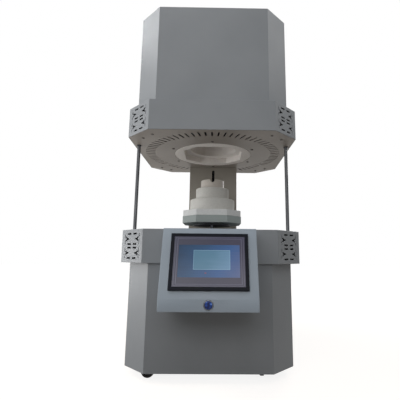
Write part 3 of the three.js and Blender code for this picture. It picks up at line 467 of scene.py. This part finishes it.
# %% [markdown]
# ## Sheet metal
#
# Cabinet and head are folded from thick sheet, so their bends are wide: 2.2 mm. The box is folded
# tighter, and the collars, decks and covers only have cut edges that the powder coat rounds to
# 0.8 mm. On three flat plates only faces in one plane share their shading, because their rounded
# cut-outs would otherwise draw faint lines across them.

# %% Sheet metal
for node in ("cabinet_shell", "head_shell"):
    refine(node, grey_coat, 0.0022, 3)
for node in ("base_collar", "head_collar"):
    refine(node, grey_coat, 0.0008, 2)
for node in ("base_deck", "head_top", "rear_panel"):
    refine(node, grey_coat, 0.0008, 2, one_plane)
refine("column_cover", column_coat, 0.0008, 2)
refine("control_box", panel_coat, 0.0013, 3)
refine("head_floor", floor_coat, 0.0005, 1)
refine("hearth_tray", tray_coat, 0.0008, 2)

# %% [markdown]
# ## Turned and cast pieces
#
# Anything made on a lathe is drawn as the machinist sees it: a half section of radius and height,
# with a small fillet at each corner, swept round its axis. The same function makes the fibre plugs,
# the pillars, the push button and the wheels.

# %% Lathe
def filleted(profile, radius, steps=3):
    """A half section with each inner corner cut by a short arc."""
    points = [profile[0]]
    for before, corner, after in zip(profile, profile[1:], profile[2:]):
        a, b, c = Vector(before), Vector(corner), Vector(after)
        reach = min(radius, (a - b).length / 2.1, (c - b).length / 2.1)
        start, end = b + (a - b).normalized() * reach, b + (c - b).normalized() * reach
        for i in range(steps + 1):
            t = i / steps
            points.append(tuple(start * (1 - t) ** 2 + b * 2 * t * (1 - t) + end * t * t))
    return points + [profile[-1]]


def lathe(profile, sides):
    """Sweeps a half section round Z. A point on the axis becomes one vertex."""
    work = bmesh.new()
    rings = []
    for radius, height in profile:
        if radius < 1e-7:
            rings.append([work.verts.new((0, 0, height))])
            continue
        turn = [2 * math.pi * i / sides for i in range(sides)]
        spots = [(radius * math.cos(a), radius * math.sin(a), height) for a in turn]
        rings.append([work.verts.new(spot) for spot in spots])
    for low, high in zip(rings, rings[1:]):
        for i in range(sides):
            j = (i + 1) % sides
            corners = [low[i % len(low)], low[j % len(low)]]
            corners += [high[j % len(high)], high[i % len(high)]]
            corners = list(dict.fromkeys(corners))
            if len(corners) > 2:
                work.faces.new(corners)
    return work


def place(work, matrix):
    bmesh.ops.transform(work, matrix=matrix, verts=work.verts)
    return work


def centre(node):
    """The middle of a node's box, and its two corners."""
    low, high = (Vector(corner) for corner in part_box(node))
    return (low + high) / 2, low, high


def cylinder(node, ending, material, fillet, steps, sides):
    """A round solid made again as a lathe piece, with a fillet at both rims."""
    middle, low, high = centre(node)
    radius = (high.x - low.x) / 2
    section = [(0, low.z), (radius, low.z), (radius, high.z), (0, high.z)]
    stand = Matrix.Translation((middle.x, middle.y, 0))
    work = place(lathe(filleted(section, fillet, steps), sides), stand)
    piece = keep(node + ending, to_mesh(work, node), material, body_of_node[node])
    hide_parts(node)


rounded = filleted([(0, 0), (1, 0), (1, 1)], 0.1)
print("a fillet makes one corner into", len(rounded) - 2, "points")

# %% [markdown]
# ## Hearth plug, board and mouth
#
# The plug is two round steps of formed fibre, whose rims crumble to a radius of 3 mm, so each step
# is a cylinder from the lathe. The eight-sided board, the mouth ring and the chamber keep their
# solids, with edges that handling has rounded by 1 to 2 mm.

# %% Hearth plug, board and mouth
for node in ("plug_lower", "plug_upper"):
    cylinder(node, "_formed", formed_fibre, 0.003, 4, 128)
refine("hearth_board", fibre_board, 0.0018, 3)
refine("mouth_ring", mouth_fibre, 0.0016, 2)
for node in ("chamber_wall", "chamber_roof"):
    refine(node, mouth_fibre, 0.001, 1)
refine("outer_insulation", fibre_board, 0.001, 1)
print("fibre pieces dressed")

# %% [markdown]
# ## Crucible
#
# The crucible is a pressed alumina cup with four U-shaped notches in its rim, which let gas out
# when a lid lies on it. The cup is swept like a lathe piece, but its rim height changes with the
# angle, so that the notches are part of the wall and need no cutting.

# %% Crucible
def crucible():
    middle, low, high = centre("crucible")
    outer, wall, fillet = (high.x - low.x) / 2, 0.005, 0.0012
    height, notch_half, notch_depth = high.z - low.z, 0.0095, 0.011
    notch_steps, land_steps = 12, 24
    edge = math.asin(notch_half / outer)
    land_turn = math.pi / 2 - 2 * edge
    turns = []
    for quarter in range(4):
        start = quarter * math.pi / 2
        notch = [start - edge + 2 * edge * i / notch_steps for i in range(notch_steps + 1)]
        land = [start + edge + land_turn * i / land_steps for i in range(land_steps + 1)]
        turns += [(a, True) for a in notch] + [(a, False) for a in land]
    work = bmesh.new()
    rings = []
    for angle, cut in turns:
        nearest = round(angle / (math.pi / 2)) * math.pi / 2
        across = min(abs(outer * math.sin(angle - nearest)), notch_half)
        round_part = math.sqrt(notch_half ** 2 - across ** 2)
        rim = height - (notch_depth - notch_half) - round_part if cut else height
        inner = outer - wall
        section = [
            (0, 0), (outer - fillet, 0), (outer, fillet),
            (outer, rim - fillet), (outer - fillet, rim),
            (inner + fillet, rim), (inner, rim - fillet),
            (inner, wall + fillet), (inner - fillet, wall), (0, wall),
        ]
        spots = [(r * math.cos(angle), r * math.sin(angle), z) for r, z in section]
        rings.append([work.verts.new(spot) for spot in spots])
    for ring, following in zip(rings, rings[1:] + rings[:1]):
        for i in range(len(ring) - 1):
            work.faces.new((ring[i], following[i], following[i + 1], ring[i + 1]))
    bmesh.ops.remove_doubles(work, verts=work.verts, dist=1e-6)
    place(work, Matrix.Translation((middle.x, middle.y, low.z)))
    mesh = to_mesh(work, "crucible")
    piece = keep("crucible_cup", mesh, alumina, "crucible_body", math.radians(40))
    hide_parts("crucible")


crucible()

# %% [markdown]
# ## Pillars, rods and lead screw
#
# The two pillars are ground bars with a shoulder at each plate, so their sections come straight
# from the solid: thin, thick at the shoulders, thin again. The lead screw is a bar with a trapezoid
# thread of 10 mm lead. A thread is a section whose radius depends on height and angle together, so
# it is a lathe mesh as wide as the crest, whose vertices are pulled in where no thread passes. The
# crest takes 0.44 of the lead, and each flank takes a tenth.

# %% Pillars and rods
floor_sheet = 0.002
under_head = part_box("head_floor")[1][2] - floor_sheet


def pillar(node):
    middle, low, high = centre(node)
    thin, thick, shoulder = 0.006, 0.008, 0.005
    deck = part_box("base_deck")[1][2]
    z = [low.z, deck, deck + shoulder, under_head - shoulder, under_head, high.z]
    section = [(0, z[0]), (thin, z[0]), (thin, z[1]), (thick, z[1]), (thick, z[2]), (thin, z[2])]
    section += [(thin, z[3]), (thick, z[3]), (thick, z[4]), (thin, z[4]), (thin, z[5]), (0, z[5])]
    stand = Matrix.Translation((middle.x, middle.y, 0))
    work = place(lathe(filleted(section, 0.0006, 2), 48), stand)
    piece = keep(node + "_ground", to_mesh(work, node), pillar_steel, "frame")
    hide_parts(node)


def lead_screw():
    middle, low, high = centre("lead_screw")
    lead, sides, per_turn, root, crest = 0.01, 32, 16, 0.0066, 0.008
    flank_start, flank_fall = 3.2, 10
    length = high.z - low.z
    levels = int(length / lead * per_turn)
    side = [(crest, low.z + length * i / levels) for i in range(levels + 1)]
    work = lathe([(0, low.z)] + side + [(0, high.z)], sides)
    for vert in work.verts:
        radius = math.hypot(vert.co.x, vert.co.y)
        if radius > 1e-6:
            turn = math.atan2(vert.co.y, vert.co.x) / (2 * math.pi)
            phase = ((vert.co.z - low.z) / lead - turn) % 1
            height = min(max(flank_start - abs(phase - 0.5) * flank_fall, 0), 1)
            scale = (root + (crest - root) * height) / radius
            vert.co.x *= scale
            vert.co.y *= scale
    place(work, Matrix.Translation((middle.x, middle.y, 0)))
    mesh = to_mesh(work, "lead_screw")
    # The thread's black zinc is partly painted shade, so that the column's slot in front of it stays dark.
    piece = keep("lead_screw_thread", mesh, dark_zinc, "screw", math.radians(50))
    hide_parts("lead_screw")


for node in ("pillar_left", "pillar_right"):
    pillar(node)
for node in ("guide_rod_left", "guide_rod_right"):
    cylinder(node, "_ground", bright_chrome, 0.001, 3, 48)
lead_screw()
print("pillars, guide rods and lead screw made")

# %% [markdown]
# ## Touch panel
#
# The panel leans back, so its pieces are made lying flat, with X across and Y up the slope, and one
# matrix stands them in place. The bezel keeps its solid, rounded by 1.2 mm. The screen's front is a
# grid of faces whose lines are the edges of the page, the window and their borders. Each face asks
# one function which layer covers its middle.

# %% Panel frame of reference
slope = Matrix.Rotation(math.pi / 2 - panel_tilt, 4, "X")
panel_frame = Matrix.Translation(screen_middle) @ slope
print("panel tilt", round(math.degrees(panel_tilt), 2), "degrees")

# %% Screen
half_x, half_y, half_z = 0.0927, 0.0660, 0.0009
window_x, window_y = 0.0065, 0.003
window_outer, window_inner = (0.0475, 0.0258), (0.0463, 0.0246)
page_left, page_right, page_foot, page_top = -0.0800, 0.0790, -0.0425, 0.0430
mark_x, mark_y, mark_half = -0.009, -0.0315, (0.0024, 0.0018)
border_lines = (0.895, 0.911), (0.955, 0.968)


def layer_of(x, y):
    """The display layer that covers a spot, given in metres from the middle of the screen."""
    for layer, half in (("window", window_inner), ("edge", window_outer)):
        if max(abs(x - window_x) / half[0], abs(y - window_y) / half[1]) < 1:
            return layer
    if abs(x - mark_x) < mark_half[0] and abs(y - mark_y) < mark_half[1]:
        return "mark"
    if page_left < x < page_right and page_foot < y < page_top:
        return "page"
    share = max(abs(x) / half_x, abs(y) / half_y)
    return "line" if any(low < share < high for low, high in border_lines) else "border"


def screen():
    across = [page_left, page_right, mark_x - mark_half[0], mark_x + mark_half[0]]
    upwards = [page_foot, page_top, mark_y - mark_half[1], mark_y + mark_half[1]]
    for half in (window_outer, window_inner):
        across += [window_x - half[0], window_x + half[0]]
        upwards += [window_y - half[1], window_y + half[1]]
    for share in (*border_lines[0], *border_lines[1], 1):
        across += [share * half_x, -share * half_x]
        upwards += [share * half_y, -share * half_y]
    across, upwards = sorted(across), sorted(upwards)
    layers = {"border": film_border, "line": border_line, "page": page_blue,
              "window": window_blue, "edge": window_edge, "mark": mark_red}
    work = bmesh.new()
    grid = [[work.verts.new((x, y, half_z)) for x in across] for y in upwards]
    corners = ((-1, -1), (1, -1), (1, 1), (-1, 1))
    back = [work.verts.new((x * half_x, y * half_y, -half_z)) for x, y in corners]
    for row, (y, next_y) in enumerate(zip(upwards, upwards[1:])):
        for column, (x, next_x) in enumerate(zip(across, across[1:])):
            foot, top = grid[row], grid[row + 1]
            face = work.faces.new((foot[column], foot[column + 1], top[column + 1], top[column]))
            layer = layer_of((x + next_x) / 2, (y + next_y) / 2)
            face.material_index = list(layers).index(layer)
    rim = [grid[0], [line[-1] for line in grid], grid[-1][::-1], [line[0] for line in grid[::-1]]]
    for side, edge in enumerate(rim):
        work.faces.new(edge[::-1] + [back[side], back[(side + 1) % 4]])
    work.faces.new(back[::-1])
    place(work, panel_frame)
    mesh = to_mesh(work, "hmi_screen")
    for layer in layers.values():
        mesh.materials.append(layer)
    piece = keep("screen_film", mesh, film_border, "frame")
    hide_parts("hmi_screen")


refine("hmi_bezel", black_abs, 0.0012, 3)
screen()
print("screen size", [round(v, 4) for v in screen_corners[1] - screen_corners[0]])

# %% [markdown]
# ## Push button
#
# A 22 mm push button is a domed chrome ring, darkened as a painted dark reflection, that clamps
# through the sheet, with a blue lens inside it. The lens's faint glow and the pale spots at its ribs
# are painted light. Ring and lens are lathe sections turned on their side, so that their axis points
# to the front.

# %% Push button
def facing_front(node):
    """The matrix that turns a lathe piece to the front on a node's place, and the node's depth."""
    middle, low, high = centre(node)
    turn = Matrix.Rotation(math.pi / 2, 4, "X")
    return Matrix.Translation((middle.x, high.y, middle.z)) @ turn, high.y - low.y


def push_button():
    stand, depth = facing_front("button_body")
    ring = [
        (0.0098, 0), (0.011, 0), (0.011, depth - 0.0025), (0.013, depth - 0.0025),
        (0.0129, depth - 0.0021), (0.0122, depth - 0.001), (0.0111, depth - 0.0002),
        (0.0104, depth), (0.0098, depth - 0.0012), (0.0098, 0),
    ]
    work = place(lathe(filleted(ring, 0.0004, 2), 64), stand)
    piece = keep("button_ring", to_mesh(work, "ring"), chrome_painted_dark_reflection, "frame")
    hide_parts("button_body")
    stand, depth = facing_front("button_cap")
    cap = [
        (0, 0), (0.0095, 0), (0.0095, depth - 0.0012), (0.008, depth - 0.0003),
        (0.004, depth), (0, depth),
    ]
    work = place(lathe(filleted(cap, 0.0008), 64), stand)
    piece = keep("button_lens", to_mesh(work, "lens"), blue_acrylic, "button")
    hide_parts("button_cap")


push_button()
print("push button made")

# %% [markdown]
# ## Casters
#
# Each wheel is a rubber tread on a nylon hub, each fork a zinc-plated pressing. The solids already
# stand at their own angles, so the fork is refined in place, and the wheel is made along its axle,
# which the joint in the record gives.

# %% Casters
joints = {joint["name"]: joint for joint in frame["joints"]}


def wheel(place_name):
    roll_joint = joints["roll_" + place_name]
    axle, spot = Vector(roll_joint["axis"]), Vector(roll_joint["pos_m"])
    stand = Matrix.Translation(spot) @ axle.to_track_quat("Z", "Y").to_matrix().to_4x4()
    tread = [
        (0.0135, -0.006), (0.017, -0.007), (0.0194, -0.0055), (0.02, -0.003), (0.02, 0.003),
        (0.0194, 0.0055), (0.017, 0.007), (0.0135, 0.006), (0.0135, -0.006),
    ]
    hub = [
        (0.0033, -0.007), (0.006, -0.007), (0.0065, -0.0045), (0.012, -0.0045), (0.0135, -0.006),
        (0.0135, 0.006), (0.012, 0.0045), (0.0065, 0.0045), (0.006, 0.007), (0.0033, 0.007),
        (0.0033, -0.007),
    ]
    body = "wheel_" + place_name
    mesh = to_mesh(place(lathe(tread, 64), stand), "tread")
    rubber = keep("tread_" + place_name, mesh, tread_rubber, body)
    mesh = to_mesh(place(lathe(hub, 48), stand), "hub")
    middle = keep("hub_" + place_name, mesh, nylon, body)
    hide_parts("caster_wheel_" + place_name)


for corner in ("front_left", "front_right", "rear_left", "rear_right"):
    wheel(corner)
    refine("caster_fork_" + corner, zinc_plate, 0.0005, 2)
refine("caster_frame", zinc_plate, 0.0006, 2)
print("casters made")

# %% [markdown]
# ## Screws
#
# Button-head screws hold the mouth ring's plate, the head floor's corners and the rear panel. Each
# is a domed head with a six-sided socket. They are small, so one mesh holds a whole set. The solids
# have plain heads at the same places, 2.5 mm high on the rear panel, so its face lies that much
# under its box.

# %% Screws
def button_head():
    radius, height, socket, socket_floor = 0.0048, 0.0027, 0.0016, 0.35
    work = bmesh.new()
    sides, rings = 24, []
    dome = [
        (radius, 0), (radius, 0.35), (0.86 * radius, 0.75), (0.6 * radius, 0.96),
        (socket * 1.25, 1),
    ]
    for reach, share in dome:
        turn = [2 * math.pi * i / sides for i in range(sides)]
        spots = [(reach * math.cos(a), reach * math.sin(a), share * height) for a in turn]
        rings.append([work.verts.new(spot) for spot in spots])
    for share in (1, socket_floor):
        ring = []
        for i in range(sides):
            a = 2 * math.pi * i / sides
            flat = socket * math.cos(math.pi / 6) / math.cos((a % (math.pi / 3)) - math.pi / 6)
            ring.append(work.verts.new((flat * math.cos(a), flat * math.sin(a), share * height)))
        rings.append(ring)
    for low, high in zip(rings, rings[1:]):
        for i in range(sides):
            j = (i + 1) % sides
            work.faces.new((low[i], low[j], high[j], high[i]))
    work.faces.new(rings[-1])
    work.faces.new(rings[0][::-1])
    return work


def screws(name, spots, outward, material):
    whole = bmesh.new()
    aim = Vector(outward).to_track_quat("Z", "Y").to_matrix().to_4x4()
    for spot in spots:
        head = place(button_head(), Matrix.Translation(spot) @ aim)
        part = bpy.data.meshes.new("head")
        head.to_mesh(part)
        head.free()
        whole.from_mesh(part)
        bpy.data.meshes.remove(part)
    piece = keep(name, to_mesh(whole, name), material, "frame")


circle, reach, half_gap = 0.17, 0.2176, 0.0191
ring_spots = [(circle * math.sin(a), middle_y - circle * math.cos(a), under_head)
              for a in (math.pi * i / 3 for i in range(6))]
corner_spots = [(side_x * (reach + step), middle_y + side_y * (reach - step), under_head)
                for side_x in (-1, 1) for side_y in (-1, 1) for step in (-half_gap, half_gap)]
screws("floor_screws", ring_spots + corner_spots, (0, 0, -1), dark_zinc)
panel_low, panel_high = (Vector(spot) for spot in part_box("rear_panel"))
solid_head, inset = 0.0025, 0.006
rear_face = panel_high.y - solid_head
levels = panel_low.z + inset, (panel_low.z + panel_high.z) / 2, panel_high.z - inset
panel_spots = [(x, rear_face, z)
               for x in (panel_low.x + inset, panel_high.x - inset) for z in levels]
screws("rear_panel_screws", panel_spots, (0, 1, 0), zinc_plate)
print("screws", len(ring_spots) + len(corner_spots) + len(panel_spots))

# %% [markdown]
# ## What is inside
#
# The mechanism and the heater show through the slots, through the open mouth and when a viewer
# opens the model. Their solids keep their shape, with rounded edges where they are cast or
# machined.

# %% Inner pieces
# The spine's dark graphite colour is painted shade, so that the column's slot, which shows it, stays black.
refine("column_spine", graphite_coat, 0.0006, 1)
refine("lower_block", cast_aluminium, 0.0012, 2)
# Black zinc on the upper block, the carriage and the lift arm is partly painted shade: it darkens the column's
# slot and the gap under the tray.
for node in ("upper_block", "carriage"):
    refine(node, dark_zinc, 0.0012, 2)
refine("lift_arm", dark_zinc, 0.001, 2)
refine("lift_nut", turned_bronze, 0.0008, 2)
refine("lift_motor", dark_zinc, 0.0015, 2)
refine("transformer_core", dark_zinc, 0.001, 1)
refine("transformer_coil", enamelled_copper, 0.005, 3)
refine("power_controller", cast_aluminium, 0.0008, 1)
refine("cable_gland", nylon, 0.0006, 2)
refine("base_floor", zinc_plate, 0.0006, 1)
refine("chamber_case", ground_steel, 0.0004, 1)
refine("terminal_ring", alumina, 0.001, 2)
refine("thermocouple", alumina, 0.0008, 2)
refine("fan_frame", nylon, 0.0012, 2)
refine("fan_rotor", nylon, 0.0006, 1)
for index in range(1, 5):
    refine(f"heating_element_{index}", heater_rod, 0.0004, 1)
bare = [name for name, node in frame["nodes"].items() if not node.hide_render]
print("nodes that still show", bare)

# %% [markdown]
# ## Floor, backdrop and light
#
# The picture has a white ground, so the floor and the world look white to the camera and to
# mirrors, and the world also through anything clear. For all other rays they are a plain pale room.
# The floor's glow is weaker near the machine, so that its soft shadow stays, and grows with
# distance until the floor meets the backdrop.
#
# The photograph shows bright left corners, an even front and a warm underside. Nine lamps make the
# light: a window, a skylight and a low bounce at the left, a weaker skylight at the right, three
# wide soft ones at the front, one behind, and a narrow gleam for the head's left corner. The
# underside's warmth comes partly from the warm floor and partly from painted warm bounce light in
# the head floor's coat.

# %% Floor
def studio_floor():
    material, tree = blank("pale_floor")
    rays = add(tree, "LightPath").outputs
    seen = {0: rays["Is Camera Ray"], 1: rays["Is Glossy Ray"]}
    seen = add(tree, "Math", seen, operation="MAXIMUM").outputs["Value"]
    matt = add(tree, "BsdfDiffuse", {"Color": linear("#8e857b")}).outputs["BSDF"]
    spot = add(tree, "TexCoord").outputs["Object"]
    away = add(tree, "VectorMath", {0: spot}, operation="LENGTH").outputs["Value"]
    level = {"Value": away, "From Min": 0.6, "From Max": 2.4, "To Min": 0.86, "To Max": 0.985}
    level = add(tree, "MapRange", level).outputs["Result"]
    white = {"Color": linear("#ffffff"), "Strength": level}
    glow = add(tree, "Emission", white).outputs["Emission"]
    none = add(tree, "Emission", {"Strength": 0.0}).outputs["Emission"]
    extra = add(tree, "MixShader", {0: seen, 1: none, 2: glow}).outputs["Shader"]
    both = add(tree, "AddShader", {0: matt, 1: extra}).outputs["Shader"]
    add(tree, "OutputMaterial", {"Surface": both})
    mesh = bpy.data.meshes.new("floor")
    half = 8
    corners = [(-half, -half, 0), (half, -half, 0), (half, half, 0), (-half, half, 0)]
    mesh.from_pydata(corners, [], [(0, 1, 2, 3)])
    mesh.materials.append(material)
    floor = bpy.data.objects.new("floor", mesh)
    bpy.context.collection.objects.link(floor)
    floor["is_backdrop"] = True


studio_floor()
print("floor made, not part of the object")


# %% World and lamps
def white_world(level):
    world = bpy.data.worlds.new("room")
    bpy.context.scene.world = world
    world.use_nodes = True
    tree = world.node_tree
    rays = add(tree, "LightPath").outputs
    seen = {0: rays["Is Camera Ray"], 1: rays["Is Glossy Ray"]}
    seen = add(tree, "Math", seen, operation="MAXIMUM").outputs["Value"]
    seen = {0: seen, 1: rays["Is Transmission Ray"]}
    seen = add(tree, "Math", seen, operation="MAXIMUM").outputs["Value"]
    strength = add(tree, "MapRange", {"Value": seen, "To Min": level}).outputs["Result"]
    ground = tree.nodes["Background"]
    ground.inputs["Color"].default_value = linear("#ffffff")
    tree.links.new(strength, ground.inputs["Strength"])


def lamp(name, spot, aim, size, watts, spread=180):
    light = bpy.data.lights.new(name, "AREA")
    light.shape = "RECTANGLE"
    light.size, light.size_y = size
    light.energy = watts
    light.spread = math.radians(spread)
    thing = bpy.data.objects.new(name, light)
    thing.location = spot
    thing.rotation_euler = (Vector(aim) - Vector(spot)).to_track_quat("-Z", "Y").to_euler()
    bpy.context.collection.objects.link(thing)


white_world(0.1225)
lamp("ceiling_front", (-0.3, -1.6, 2.4), (0, 0, 0.8), (1.4, 1.0), 10)
lamp("room_front", (0.0, -1.5, 0.85), (0, 0, 0.8), (0.9, 0.5), 3.6)
lamp("room_left", (-0.7, -1.4, 0.9), (0, 0, 0.8), (0.6, 0.6), 2.6)
lamp("window_left", (-2.2, 0.1, 0.8), (0, 0, 0.7), (1.2, 1.6), 13)
lamp("floor_left", (-0.9, -0.1, 0.3), (0, 0, 0.75), (0.4, 0.3), 1.7)
lamp("skylight_left", (-1.8, -0.4, 2.2), (0, 0, 0.7), (1.2, 1.2), 19)
lamp("skylight_right", (1.8, -0.4, 2.2), (0, 0, 0.7), (1.2, 1.2), 12)
lamp("room_back", (1.5, 2.4, 1.7), (0, 0.1, 0.7), (1.2, 1.2), 30)
lamp("gleam_left", (-1.1, -0.02, 1.55), (-0.27, -0.17, 1.34), (0.15, 0.15), 0.3, 34)

# %% [markdown]
# ## Finish
#
# The dressed furnace stays in the box of its solids. Both boxes are written down and compared.

# %% Finish
dressed = [list(corner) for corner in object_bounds()]
pairs = zip(sum(dressed, []), sum(cad_bounds, []))
print("growth in mm", [round(1000 * (visual - cad), 2) for visual, cad in pairs])
